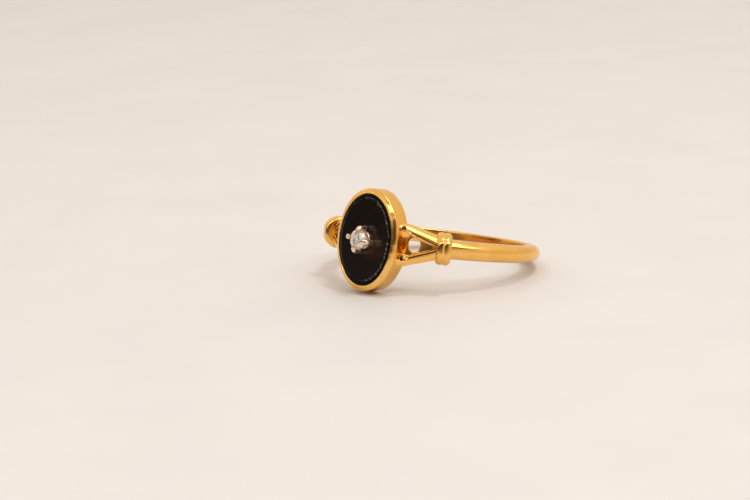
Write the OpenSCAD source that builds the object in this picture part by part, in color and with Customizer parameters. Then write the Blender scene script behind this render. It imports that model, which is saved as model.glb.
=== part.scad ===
// Onyx ring. An oval black onyx with a bevelled edge sits in a rubbed-over gold bezel, and a small
// claw-set diamond stands on its middle. Forked, pierced shoulders run from the bezel to twin-bead
// collars, and a tapered half-round shank closes the ring.
// The ring is shaped about its own centre, with the bezel towards -Y and the finger along Z. It is
// then laid on its side as it rests, on the lower edge of the bezel and the back of the shank.

/* [Shank] */
// Diameter of the finger hole
finger_d = 16.5; // [16.3:0.1:17.5]
// Thickness of the shank at the back
shank_back_t = 1.2; // [1.1:0.05:1.35]
// How far the shank's outer round is set towards the bezel, which thickens it at the shoulders
shank_shift = 0.2; // [0.15:0.05:0.3]
// Radius of the shank's rounded crown
crown_r = 0.93; // [0.85:0.01:1]
// Width of the shank on the bezel's side
shank_front_w = 1.8; // [1.6:0.05:1.85]
// Width of the shank at the back
shank_back_w = 1.3; // [1.1:0.05:1.5]

/* [Collars] */
// Angle round the finger from the middle of the bezel to the middle of a collar
collar_angle = 41; // [40:0.5:42]
// Diameter of each bead ring
bead_d = 2.84; // [2.7:0.02:3]
// Height of a bead ring's centre above the finger
bead_rise = 0.8; // [0.7:0.05:0.9]
// Thickness of each bead ring along the shank
bead_t = 0.68; // [0.6:0.02:0.72]
// Distance between the two bead rings
bead_pitch = 0.64; // [0.56:0.02:0.66]

/* [Forked shoulders] */
// Angle round the finger that the fork's flat outer face is square to
fork_angle = 36; // [35:0.5:37]
// Height of that face above the finger
fork_rise = 1.5; // [1.4:0.05:1.6]
// Width of the fork at its throat, beside the collar
throat_w = 2.04; // [1.9:0.02:2.2]
// Widest spread of the fork, where its arms meet the bezel
spread_w = 3.7; // [3.5:0.05:3.8]
// Radius of the curve in which each arm flares out
flare_r = 12.5; // [11:0.5:14]
// Length of the solid ramp in the crotch of the fork, before the opening goes right through
ramp_l = 1.2; // [1:0.05:1.4]
// Width of the groove cut along each arm
groove_w = 0.14; // [0.1:0.01:0.16]
// Depth of that groove
groove_d = 0.2; // [0.15:0.01:0.25]
// Radius of the drilled eye at the end of each groove
eye_r = 0.17; // [0.12:0.01:0.2]

/* [Bezel] */
// Length of the bezel, along the finger
bezel_l = 9.1; // [8.9:0.1:9.4]
// Width of the bezel, round the finger
bezel_w = 6.7; // [6.5:0.1:6.9]
// Height of the bezel's back edge above the finger
bezel_lift = 0.35; // [0.3:0.05:0.45]
// Depth of the bezel's upright wall
bezel_wall_h = 1.6; // [1.5:0.05:1.75]
// Thickness of that wall round the stone
bezel_wall_t = 0.35; // [0.3:0.01:0.4]
// Width of the rubbed-over rim, seen from the front
rim_w = 0.465; // [0.44:0.005:0.5]
// How far the rim rises from the wall to its inner edge
rim_rise = 0.31; // [0.28:0.01:0.34]
// Thickness of the ledge that the onyx sits on
ledge_t = 0.4; // [0.3:0.05:0.5]
// Width of the ledge, from the outside of the bezel to the open back
ledge_w = 1; // [0.9:0.05:1.1]

/* [Onyx] */
// Width of the bevel round the onyx
bevel_w = 0.43; // [0.38:0.01:0.48]
// Height of that bevel
bevel_h = 0.2; // [0.16:0.01:0.24]
// How far the flat table stands above the rim's inner edge
table_rise = 0.12; // [0.1:0.01:0.14]

/* [Diamond and its setting] */
// Diameter of the diamond
diamond_d = 1.72; // [1.6:0.02:1.8]
// Height of the diamond's girdle above the onyx
girdle_rise = 0.86; // [0.82:0.01:0.95]
// Radius of a claw
claw_r = 0.31; // [0.28:0.01:0.34]
// Distance of a claw from the middle of the setting
claw_reach = 0.98; // [0.92:0.01:1]
// Height of a claw's tip above the onyx
claw_h = 1.3; // [1.25:0.01:1.4]
// Turn of the four claws from upright, clockwise from the front
claw_turn = 9; // [0:1:45]
// Radius of the plate that carries the claws
plate_r = 0.82; // [0.75:0.01:0.88]
// Thickness of that plate
plate_t = 0.22; // [0.18:0.01:0.26]
// Radius of the peg through the onyx
peg_r = 0.35; // [0.3:0.01:0.4]

/* [Hidden] */

$fn = 96;
gap = 0.02;            // clearance between neighbouring pieces
spare = 1;             // how far a cutting shape runs past what it cuts
finger_r = finger_d / 2;

// The shank's outer round, about a centre set towards the bezel
shank_r = finger_r + shank_back_t + shank_shift;
shank_end_w = shank_front_w / 2;
shank_tail_w = shank_back_w / 2;

// The bezel: heights are distances from the ring's centre
bezel_half_l = bezel_l / 2;
bezel_half_w = bezel_w / 2;
bezel_back = finger_r + bezel_lift;
rim_foot = bezel_back + bezel_wall_h;
rim_top = rim_foot + rim_rise;
seat = bezel_back + ledge_t;
table = rim_top + table_rise;

// The bezel's outline is a four-centred oval, within 0.04 mm of an ellipse. Its centres are the
// corners of 3-4-5 triangles, so the difference of its radii is 5 where their offsets are 3 and 4.
oval_unit = (bezel_half_l - bezel_half_w) / 2;
end_centre = 3 * oval_unit;
side_centre = 4 * oval_unit;
end_r = bezel_half_l - end_centre;
side_r = bezel_half_w + side_centre;
side_sweep = atan(3 / 4);

// The fork: lengths run along its flat face from the crotch, which is in the middle of that face.
// A curve is its distance from the fork's middle line at the crotch, its slope there and its bend.
fork_r = finger_r + fork_rise;
fork_face = fork_r * [sin(fork_angle), -cos(fork_angle)];
fork_run = [cos(fork_angle), sin(fork_angle)];
root_l = 0.95;         // from the crotch back to the fork's end inside the collar
flare_start = 1.9;     // from the crotch back to where the flare would be narrowest
arm_end_x = bezel_half_w - bezel_wall_t;
foot_l = 0.8;          // length of the feet that run on under the bezel's back edge
foot_top = bezel_back + ledge_t / 2;
opening_l = 2.2;       // to the widest part of the opening
opening_curve = [0.18, 0.1, 0.13];
neck_l = 2.8;          // to the neck beside the bezel
neck_w = 0.62;         // half width of the opening at that neck
corner_l = 0.25;       // length over which the opening keeps its full width
groove_l = 2.6;        // to the eye at the groove's end
groove_curve = [0.36, 0.2, 0.06];
curve_steps = 8;

// The diamond, cut to usual proportions: heights are from the girdle's middle
diamond_r = diamond_d / 2;
girdle_half_t = 0.02;
half_step = 360 / 16;  // half the angle between two main facets
crown_angle = 34.5;
crown_h = 0.27;
pavilion_angle = 41;
star_reach = 0.72;     // where the stars end, over the diamond's radius
half_reach = 0.22;     // where the lower halves end, over the same
girdle = table + girdle_rise;

// The end of the peg, riveted over behind the onyx
rivet_r = 1.6 * peg_r;
rivet_t = 0.2;

// Rest: the bezel's back edge and the corner of the shank's side touch the ground together
shank_corner_r = shank_r - shank_shift - crown_r + sqrt(crown_r ^ 2 - shank_tail_w ^ 2);
tilt = atan((bezel_half_l - shank_tail_w) / (bezel_back + shank_corner_r));
lift = bezel_half_l * cos(tilt) - bezel_back * sin(tilt);
front_reach = (table + claw_h) * cos(tilt) + claw_reach * sin(tilt);
back_reach = (finger_r + shank_back_t) * cos(tilt) + shank_tail_w / 2 * sin(tilt);
mid_shift = (front_reach - back_reach) / 2;

// Distance of a curve from the fork's middle line, at a length from the crotch
function curve_w(curve, l) = curve[0] + curve[1] * l + curve[2] * l ^ 2;

// Points along a curve of the fork from the crotch to a length, moved sideways
function curve_points(curve, end_l, aside = 0) =
    [for (step = [0 : curve_steps]) let (l = step / curve_steps * end_l) [-l, curve_w(curve, l) + aside]];

// Points in the opposite order
function reversed(points) = [for (i = [len(points) - 1 : -1 : 0]) points[i]];

// Lays the ring on its side, with the middle of its base at the origin
module lie_down() {
    translate([0, mid_shift, lift]) rotate([-tilt, 0, 0]) children();
}

// Puts children on the ring at an angle from the bezel: Z outwards, Y along the finger
module at_angle(angle) {
    rotate([0, 0, angle]) rotate([90, 0, 0]) children();
}

// Both sides of the ring
module both_sides() {
    children();
    mirror([1, 0, 0]) children();
}

// Turns a profile of [inset from the bezel's outline, height] points round the oval.
// The profile is closed along the axis of each turn, so the result is solid.
module oval_plate(profile) {
    low = profile[0][1];
    high = profile[len(profile) - 1][1];
    for (right = [0, 1], top = [0, 1]) mirror([right, 0, 0]) mirror([0, top, 0]) {
        translate([-side_centre, 0]) rotate_extrude(angle = side_sweep)
            polygon(concat([[0, low]], [for (p = profile) [side_r - p[0], p[1]]], [[0, high]]));
        translate([0, end_centre]) rotate([0, 0, side_sweep]) rotate_extrude(angle = 90 - side_sweep)
            polygon(concat([[0, low]], [for (p = profile) [end_r - p[0], p[1]]], [[0, high]]));
    }
}

// Half-round band, open over the bezel, with sides that close in towards the back
module shank() {
    intersection() {
        translate([0, -shank_shift, 0]) rotate([0, 0, collar_angle - 90])
            rotate_extrude(angle = 360 - 2 * collar_angle) {
                intersection() {
                    translate([shank_r - crown_r, 0]) circle(crown_r);
                    translate([shank_r - crown_r, -crown_r]) square([crown_r, 2 * crown_r]);
                }
                translate([finger_r - spare / 2, -crown_r])
                    square([shank_r - crown_r - finger_r + spare / 2, 2 * crown_r]);
            }
        rotate([90, 0, 90]) linear_extrude(4 * finger_r, center = true) polygon([
            [-shank_r, -shank_end_w], [shank_r, -shank_tail_w],
            [shank_r, shank_tail_w], [-shank_r, shank_end_w]
        ]);
    }
}

// One bead ring: a disc with a rounded rim
module bead_ring() {
    rotate([0, 90, 0]) rotate_extrude() {
        translate([bead_d / 2 - bead_t / 2, 0]) circle(bead_t / 2);
        translate([0, -bead_t / 2]) square([bead_d / 2 - bead_t / 2, bead_t]);
    }
}

// Two bead rings side by side round the shank
module collar() {
    at_angle(collar_angle) for (side = [-1, 1])
        translate([side * bead_pitch / 2, 0, finger_r + bead_rise]) bead_ring();
}

// Outline of the fork from the front, flaring towards the bezel
module fork_outline() {
    difference() {
        translate([-2 * spread_w, -spread_w / 2]) square([3 * spread_w, spread_w]);
        for (side = [-1, 1])
            translate([flare_start, side * (throat_w / 2 + flare_r)]) circle(flare_r, $fn = 360);
    }
}

// Outline of the opening between the arms, pointed at the crotch and necked in at the bezel
module opening_outline() {
    widest = curve_w(opening_curve, opening_l);
    flank = concat(
        curve_points(opening_curve, opening_l),
        [[-opening_l - corner_l, widest], [-neck_l, neck_w], [-2 * opening_l, neck_w]]
    );
    polygon(concat(flank, [for (point = reversed(flank)) [point[0], -point[1]]]));
}

// Outline of the groove along one arm, with the drilled eye at its end
module groove_outline() {
    polygon(concat(
        curve_points(groove_curve, groove_l),
        reversed(curve_points(groove_curve, groove_l, groove_w))
    ));
    translate([-groove_l, curve_w(groove_curve, groove_l)]) circle(eye_r);
}

// What the opening takes out: a ramp down from the crotch, then straight through
module fork_opening() {
    below = finger_r - 2 * spare;
    above = fork_r + spare;
    intersection() {
        translate([0, 0, below]) linear_extrude(above - below) opening_outline();
        rotate([90, 0, 0]) linear_extrude(spread_w, center = true) polygon([
            [spare, above], [0, fork_r], [-ramp_l, finger_r], [-ramp_l, below],
            [-2 * opening_l, below], [-2 * opening_l, above]
        ]);
    }
}

// Side view of the fork: its flat face from inside the collar to the bezel, a foot under the
// bezel's back edge, and a chord inside the finger hole, which is bored out later
module fork_side_view() {
    inside = finger_r - spare;
    polygon([
        fork_face + root_l * fork_run,
        fork_face + (arm_end_x - fork_face[0]) / fork_run[0] * fork_run,
        [arm_end_x, -foot_top],
        [arm_end_x - foot_l, -foot_top],
        [arm_end_x - foot_l, -inside],
        inside * [sin(collar_angle), -cos(collar_angle)]
    ]);
}

// Forked shoulder from a collar to the side of the bezel
module shoulder() {
    difference() {
        intersection() {
            linear_extrude(2 * spread_w, center = true) fork_side_view();
            at_angle(fork_angle) linear_extrude(2 * finger_r) fork_outline();
        }
        at_angle(fork_angle) fork_opening();
        at_angle(fork_angle) for (side = [0, 1]) mirror([0, side, 0])
            translate([0, 0, fork_r - groove_d]) linear_extrude(groove_d + spare) groove_outline();
    }
}

// Outside of the bezel: upright wall and sloping rubbed-over rim
module bezel_body() {
    at_angle(0) oval_plate([[0, bezel_back], [0, rim_foot], [rim_w, rim_top]]);
}

// Outline of the onyx in section, grown by a clearance
function onyx_profile(grow) = [
    [bezel_wall_t + gap - grow, seat + gap - grow],
    [bezel_wall_t + gap - grow, table - bevel_h],
    [bezel_wall_t + gap + bevel_w - grow, table]
];

// The pocket for the onyx, and the open back inside the ledge
module bezel_hollow() {
    at_angle(0) {
        oval_plate(onyx_profile(gap));
        oval_plate([[ledge_w, bezel_back - spare], [ledge_w, seat + gap]]);
    }
}

// Shank, collars, shoulders and bezel, soldered into one
module gold_mount() {
    color("goldenrod") lie_down() difference() {
        union() {
            shank();
            both_sides() {
                collar();
                shoulder();
            }
            bezel_body();
        }
        cylinder(h = 2 * spread_w, r = finger_r, center = true);
        bezel_hollow();
    }
}

// Flat black stone with a bevelled edge, drilled for the peg
module onyx_tablet() {
    color("#1b1817") lie_down() at_angle(0) difference() {
        oval_plate(onyx_profile(0));
        translate([0, 0, seat - spare]) cylinder(h = table - seat + 2 * spare, r = peg_r + gap);
    }
}

// Two cones and a band that hold the whole diamond, grown by a clearance
module diamond_room(grow) {
    r = diamond_r + grow;
    cone_h = r * tan(pavilion_angle);
    translate([0, 0, -girdle_half_t - cone_h]) cylinder(h = cone_h, r1 = 0, r2 = r);
    translate([0, 0, -girdle_half_t - grow]) cylinder(h = 2 * (girdle_half_t + grow), r = r);
    translate([0, 0, girdle_half_t + grow])
        cylinder(h = crown_h, r1 = r, r2 = r - crown_h / tan(crown_angle));
}

// One claw: a rod with a rounded tip
module claw() {
    cylinder(h = claw_h - claw_r, r = claw_r);
    translate([0, 0, claw_h - claw_r]) sphere(claw_r);
}

// Plate with four claws and a riveted peg that goes through the onyx
module claw_setting() {
    color("#e8dccb") lie_down() at_angle(0) difference() {
        union() {
            translate([0, 0, table + gap]) {
                cylinder(h = plate_t, r = plate_r);
                for (turn = [0 : 90 : 270])
                    rotate([0, 0, turn - claw_turn]) translate([claw_reach, 0, 0]) claw();
            }
            translate([0, 0, seat - rivet_t / 2]) cylinder(h = table - seat + plate_t, r = peg_r);
            translate([0, 0, seat - rivet_t]) cylinder(h = rivet_t, r = rivet_r);
        }
        translate([0, 0, girdle]) diamond_room(gap);
    }
}

// Points evenly round a circle, from a first angle
function ring_points(count, radius, height, first = 0) = [
    for (i = [0 : count - 1]) let (turn = first + i * 360 / count)
        [radius * cos(turn), radius * sin(turn), height]
];

// Height above the girdle at which two neighbouring main facets meet, at a distance from the middle
function main_facet_h(radius, angle) =
    girdle_half_t + (diamond_r - radius * cos(half_step)) * tan(angle);

// Round brilliant in the claws: a table, stars, mains and halves, and a culet
module diamond() {
    star_r = star_reach * diamond_r;
    half_r = half_reach * diamond_r;
    corners = concat(
        ring_points(8, diamond_r - crown_h / tan(crown_angle), girdle_half_t + crown_h),
        ring_points(8, star_r, main_facet_h(star_r, crown_angle), half_step),
        ring_points(16, diamond_r, girdle_half_t),
        ring_points(16, diamond_r, -girdle_half_t),
        ring_points(8, half_r, -main_facet_h(half_r, pavilion_angle), half_step),
        [[0, 0, -girdle_half_t - diamond_r * tan(pavilion_angle)]]
    );
    color("#e6e9ee", 0.6) lie_down() at_angle(0) translate([0, 0, girdle])
        hull() polyhedron(corners, [[for (i = [0 : len(corners) - 1]) i]]);
}

gold_mount();
onyx_tablet();
claw_setting();
diamond();
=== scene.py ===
"""Looks of an onyx ring lying on its side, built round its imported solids.

The gold mount is modelled as smooth pieces: the shank, two shoulders, two collars and the bezel.
The onyx and the claw setting are modelled too, and the diamond keeps its solid's own facets.
A piece is shaped upright in millimetres, about the ring's centre, with the bezel towards -Y and the
finger along Z. It is then laid on its side where the solids are, in metres.
"""

import logging
import math
from contextlib import contextmanager
from dataclasses import dataclass, field
from enum import Enum
from typing import Callable, Iterator, Sequence

import bmesh
import bpy
from mathutils import Matrix, Quaternion, Vector


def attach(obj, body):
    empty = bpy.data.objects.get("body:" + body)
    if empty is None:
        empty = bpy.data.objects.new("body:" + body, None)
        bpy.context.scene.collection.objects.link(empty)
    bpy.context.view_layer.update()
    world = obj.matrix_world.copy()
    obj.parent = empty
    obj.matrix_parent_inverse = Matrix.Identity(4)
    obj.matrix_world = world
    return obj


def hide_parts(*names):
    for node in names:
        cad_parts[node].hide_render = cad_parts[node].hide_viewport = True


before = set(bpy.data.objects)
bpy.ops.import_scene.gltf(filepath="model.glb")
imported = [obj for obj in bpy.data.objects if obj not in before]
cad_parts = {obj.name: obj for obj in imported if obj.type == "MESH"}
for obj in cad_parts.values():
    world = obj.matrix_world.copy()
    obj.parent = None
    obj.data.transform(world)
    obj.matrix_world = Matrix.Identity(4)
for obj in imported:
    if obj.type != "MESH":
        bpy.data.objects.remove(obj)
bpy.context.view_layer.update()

LOG = logging.getLogger("onyx_ring")

MM = 0.001
HAIR = 1e-4
DOUBLE = 1e-5
BODY = "root"

Profile = Sequence["Corner"]
Piece = bpy.types.Object
Socket = bpy.types.NodeSocket
Tree = bpy.types.NodeTree
Settings = dict[str | int, object]
Links = dict[str | int, Socket]


class Part(Enum):
    """What an edit selects: corners, edges or faces."""

    CORNER = "VERT"
    EDGE = "EDGE"
    FACE = "FACE"


class Side(Enum):
    """The two sides of the ring, as seen by one who faces the onyx."""

    RIGHT = 1
    LEFT = -1


# Modelling by hand: selecting, editing and applying


def hold(*pieces: Piece) -> None:
    """Selects these pieces and nothing else, and makes the first one active.

    Args:
        pieces: The pieces to select.
    """
    bpy.ops.object.select_all(action="DESELECT")
    for piece in pieces:
        piece.select_set(True)
    bpy.context.view_layer.objects.active = pieces[0]


@contextmanager
def editing(piece: Piece) -> Iterator[None]:
    """Puts a piece in edit mode for the length of a with block.

    Args:
        piece: The piece to edit.
    """
    hold(piece)
    bpy.ops.object.mode_set(mode="EDIT")
    try:
        yield
    finally:
        bpy.ops.object.mode_set(mode="OBJECT")


def pick(piece: Piece, part: Part, test: Callable[[Vector], bool]) -> None:
    """Selects the corners or faces whose middle passes a test, in edit mode.

    Args:
        piece: The piece in edit mode.
        part: What to select, corners or faces.
        test: Says whether an element with this middle is wanted.
    """
    bpy.ops.mesh.select_mode(type=part.value)
    bpy.ops.mesh.select_all(action="DESELECT")
    mesh = bmesh.from_edit_mesh(piece.data)
    if part is Part.CORNER:
        wanted = [v for v in mesh.verts if test(v.co)]
    else:
        wanted = [f for f in mesh.faces if test(f.calc_center_median())]
    for element in wanted:
        element.select_set(True)
    mesh.select_flush_mode()
    bmesh.update_edit_mesh(piece.data)


def pick_all(part: Part) -> None:
    """Selects every corner, edge or face of the piece in edit mode."""
    bpy.ops.mesh.select_mode(type=part.value)
    bpy.ops.mesh.select_all(action="SELECT")


def stretch(ratio: Sequence[float], centre: Sequence[float] = (0, 0, 0)) -> None:
    """Scales what is selected in edit mode about a centre."""
    bpy.ops.transform.resize(value=ratio, center_override=centre)


def face_outwards() -> None:
    """Merges doubles and turns every face of the piece in edit mode outwards."""
    pick_all(Part.CORNER)
    bpy.ops.mesh.remove_doubles(threshold=DOUBLE)
    bpy.ops.mesh.normals_make_consistent(inside=False)


def modify(piece: Piece, kind: str, **settings: object) -> None:
    """Adds a modifier to a piece, sets it and applies it.

    Args:
        piece: The piece to change.
        kind: The modifier's type, such as REMESH.
        settings: The modifier's own settings.
    """
    hold(piece)
    modifier = piece.modifiers.new(kind.lower(), kind)
    for name, value in settings.items():
        setattr(modifier, name, value)
    bpy.ops.object.modifier_apply(modifier=modifier.name)


def cut_out(piece: Piece, cutter: Piece) -> None:
    """Takes a cutter's room out of a piece and removes the cutter.

    Args:
        piece: The piece to cut.
        cutter: One closed body that doesn't cross itself.
    """
    modify(piece, "BOOLEAN", object=cutter, operation="DIFFERENCE", solver="EXACT")
    bpy.data.objects.remove(cutter)


def smooth(piece: Piece, degrees: float) -> None:
    """Shades a piece smooth, apart from edges sharper than an angle."""
    hold(piece)
    bpy.ops.object.shade_smooth_by_angle(angle=math.radians(degrees))


def turn(degrees: float, axis: str) -> Matrix:
    """Rotation by an angle about an axis."""
    return Matrix.Rotation(math.radians(degrees), 4, axis)


def place(piece: Piece, matrix: Matrix) -> None:
    """Moves a piece by a matrix and puts the move in its mesh.

    Args:
        piece: The piece to move.
        matrix: Where the piece's own frame goes.
    """
    hold(piece)
    piece.matrix_world = matrix @ piece.matrix_world
    bpy.ops.object.transform_apply(location=True, rotation=True, scale=True)


def mirror(piece: Piece, *ratio: float) -> None:
    """Mirrors a piece and turns its faces outwards again.

    Args:
        piece: The piece to mirror.
        ratio: Its scale along X, Y and Z, -1 where it is mirrored.
    """
    place(piece, Matrix.Diagonal((*ratio, 1)))
    with editing(piece):
        face_outwards()


def rename(piece: Piece, name: str) -> Piece:
    """Gives a piece and its mesh a name, and returns the piece."""
    piece.name = piece.data.name = name
    return piece


def added(name: str, primitive: Callable[..., object], **settings: object) -> Piece:
    """Adds an object with nothing else selected.

    Args:
        name: The new object's name.
        primitive: The operator that adds it.
        settings: The operator's own settings.

    Returns:
        The new object, selected and active.
    """
    bpy.ops.object.select_all(action="DESELECT")
    primitive(**settings)
    return rename(bpy.context.object, name)


def joined(name: str, pieces: Sequence[Piece]) -> Piece:
    """Joins pieces into one mesh.

    Args:
        name: The joined piece's name.
        pieces: The pieces to join.

    Returns:
        The joined piece.
    """
    hold(*pieces)
    bpy.ops.object.join()
    return rename(bpy.context.object, name)


def copied(piece: Piece, name: str) -> Piece:
    """Copies a piece.

    Args:
        piece: The piece to copy.
        name: The copy's name.

    Returns:
        The copy, with a mesh of its own.
    """
    twin = piece.copy()
    twin.data = piece.data.copy()
    bpy.context.collection.objects.link(twin)
    return rename(twin, name)


def seat_at(angle: float) -> Matrix:
    """Frame on the ring at an angle to the right of the bezel: Z outwards, Y along the finger."""
    return turn(angle, "Z") @ turn(90, "X")


@dataclass(frozen=True)
class Corner:
    """A corner of a turned profile: its inset from the outline, its height and its rounding."""

    inset: float
    height: float
    round: float = 0.0
    steps: int = 4


def rounded(corners: Profile, closed: bool) -> list[tuple[float, float]]:
    """Rounds a profile's corners with arcs.

    Args:
        corners: The profile's corners in order.
        closed: Whether the last corner runs on to the first.

    Returns:
        The (inset, height) points of the rounded profile.
    """
    points: list[tuple[float, float]] = []
    for i, corner in enumerate(corners):
        here = Vector((corner.inset, corner.height))
        ends = not closed and i in (0, len(corners) - 1)
        if ends or corner.round == 0:
            points.append((here.x, here.y))
            continue
        before = corners[i - 1]
        after = corners[(i + 1) % len(corners)]
        back = (Vector((before.inset, before.height)) - here).normalized()
        on = (Vector((after.inset, after.height)) - here).normalized()
        half = back.angle(on) / 2
        reach = corner.round / math.tan(half)
        middle = here + (back + on).normalized() * (corner.round / math.sin(half))
        start = here + back * reach - middle
        end = here + on * reach - middle
        for step in range(corner.steps + 1):
            arm = start.slerp(end, step / corner.steps).normalized() * corner.round
            points.append((middle.x + arm.x, middle.y + arm.y))
    return points


@dataclass(frozen=True)
class Oval:
    """An oval outline, turned on as a lathe would turn a round one."""

    half_w: float
    half_l: float
    corners: int = 160

    def turned(self, name: str, profile: Profile, closed: bool = False) -> Piece:
        """Extrudes the outline loop by loop along a profile.

        Args:
            name: The piece's name.
            profile: Corners from the first loop to the last.
            closed: True for a ring, whose last loop is bridged to its first. False for a solid, whose
                two end loops are filled.

        Returns:
            The turned piece.
        """
        points = rounded(profile, closed)
        piece = added(name, bpy.ops.mesh.primitive_circle_add, vertices=self.corners, radius=1,
                      fill_type="NOTHING")
        inset, height = points[0]
        across, along = self.half_w - inset, self.half_l - inset
        with editing(piece):
            pick_all(Part.CORNER)
            stretch((across, along, 1))
            bpy.ops.transform.translate(value=(0, 0, height))
            for inset, next_height in points[1:]:
                rise = (0, 0, next_height - height)
                bpy.ops.mesh.extrude_edges_move(TRANSFORM_OT_translate={"value": rise})
                ratio = ((self.half_w - inset) / across, (self.half_l - inset) / along, 1)
                stretch(ratio, (0, 0, next_height))
                across, along = self.half_w - inset, self.half_l - inset
                height = next_height
            if closed:
                bpy.ops.mesh.select_mode(type=Part.EDGE.value)
                bpy.ops.mesh.select_all(action="DESELECT")
                bpy.ops.mesh.select_non_manifold(extend=False)
                bpy.ops.mesh.bridge_edge_loops()
            else:
                pick_all(Part.CORNER)
                bpy.ops.mesh.fill_holes(sides=0)
            face_outwards()
        return piece


@dataclass(frozen=True)
class Station:
    """A cross-section along an arm: how far it is from the crotch, its two edges and its top."""

    reach: float
    inner: float
    outer: float
    top: float


@dataclass(frozen=True)
class TopEdge:
    """How a section's top corner is worked: its size over the section's width, 0.5 round or 0.25 flat."""

    size: float = 0.0
    fullness: float = 0.5


def swept(name: str, stations: Sequence[Station], foot: float, inner: TopEdge = TopEdge(),
          outer: TopEdge = TopEdge(), steps: int = 6, slant: float = 1.0) -> Piece:
    """Extrudes an upright section, rounded along its top, from station to station.

    Args:
        name: The piece's name.
        stations: Where the section goes, from the collar towards the bezel (-X).
        foot: Height of the section's flat underside.
        inner: How the top's inner corner is worked.
        outer: How the top's outer corner is worked.
        steps: Segments of each worked corner.
        slant: How far the worked corners fall, over how far they reach in.

    Returns:
        The swept piece, closed at both ends.
    """
    first = stations[0]
    width, depth = first.outer - first.inner, first.top - foot
    middle = Vector((-first.reach, (first.inner + first.outer) / 2, foot + depth / 2))
    piece = added(name, bpy.ops.mesh.primitive_plane_add, size=1, rotation=(0, math.radians(90), 0))
    bpy.ops.object.transform_apply(location=False, rotation=True, scale=False)
    with editing(piece):
        pick_all(Part.CORNER)
        stretch((1, width, depth))
        bpy.ops.transform.translate(value=middle)
        for edge, side in ((inner, -1), (outer, 1)):
            if edge.size > 0:
                corner_y = middle.y + side * width / 2
                pick(piece, Part.CORNER, lambda p: p.z > first.top - HAIR and abs(p.y - corner_y) < HAIR)
                bpy.ops.mesh.bevel(offset=edge.size * width, segments=steps, profile=edge.fullness,
                                   affect="VERTICES")
        pick(piece, Part.CORNER, lambda p: p.z > foot + HAIR)
        stretch((1, 1, slant), (middle.x, middle.y, first.top))
        pick_all(Part.FACE)
        last = first
        for station in stations[1:]:
            shift = (station.inner + station.outer - last.inner - last.outer) / 2
            step = (last.reach - station.reach, shift, 0)
            bpy.ops.mesh.extrude_region_move(TRANSFORM_OT_translate={"value": step})
            wide = (station.outer - station.inner) / (last.outer - last.inner)
            deep = (station.top - foot) / (last.top - foot)
            stretch((1, wide, deep), (-station.reach, (station.inner + station.outer) / 2, foot))
            last = station
        face_outwards()
    return piece


# Colours and shader nodes


def tone(code: str) -> tuple[float, float, float, float]:
    """Turns an sRGB hex colour to linear light.

    Args:
        code: Six hex digits after a hash.

    Returns:
        Red, green, blue and a full alpha, linear.
    """
    parts = [int(code[i:i + 2], 16) / 255 for i in (1, 3, 5)]
    linear = [p / 12.92 if p <= 0.04045 else ((p + 0.055) / 1.055) ** 2.4 for p in parts]
    return (*linear, 1.0)


def per_mm(size: float) -> float:
    """Scale of a pattern whose features are this many millimetres across, in object coordinates."""
    return 1 / (size * MM)


def set_node(node: bpy.types.Node, settings: Settings | None = None,
             links: Links | None = None) -> None:
    """Sets a node's values and links its inputs.

    Args:
        node: The node.
        settings: Values of its properties, or of its inputs by name or number. Those named stops are a
            colour ramp's positions with their sRGB hex colours.
        links: Sockets that feed its inputs, by name or number.
    """
    for name, value in (settings or {}).items():
        if name == "stops":
            elements = node.color_ramp.elements
            while len(elements) < len(value):
                elements.new(0.5)
            for element, (position, code) in zip(elements, value):
                element.position = position
                element.color = tone(code)
        elif isinstance(name, str) and hasattr(node, name):
            setattr(node, name, value)
        else:
            node.inputs[name].default_value = value
    for name, socket in (links or {}).items():
        node.id_data.links.new(socket, node.inputs[name])


def add_node(tree: Tree, kind: str, settings: Settings | None = None, links: Links | None = None,
             out: str | int = 0) -> Socket:
    """Adds a node with its settings and links.

    Args:
        tree: The material's or world's node tree.
        kind: The node's type, without the ShaderNode prefix.
        settings: Its values, as set_node takes them.
        links: Sockets that feed its inputs, by name or number.
        out: The output that is wanted, by name or number.

    Returns:
        That output's socket.
    """
    made = tree.nodes.new(f"ShaderNode{kind}")
    set_node(made, settings, links)
    return made.outputs[out]


def new_material(name: str) -> tuple[bpy.types.Material, Tree, bpy.types.Node, Socket]:
    """Starts a node material.

    Args:
        name: The material's name.

    Returns:
        The material, its tree, its principled shader and a spot's object coordinates.
    """
    material = bpy.data.materials.new(name)
    material.use_nodes = True
    tree = material.node_tree
    return material, tree, tree.nodes["Principled BSDF"], add_node(tree, "TexCoord", out="Object")


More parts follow.
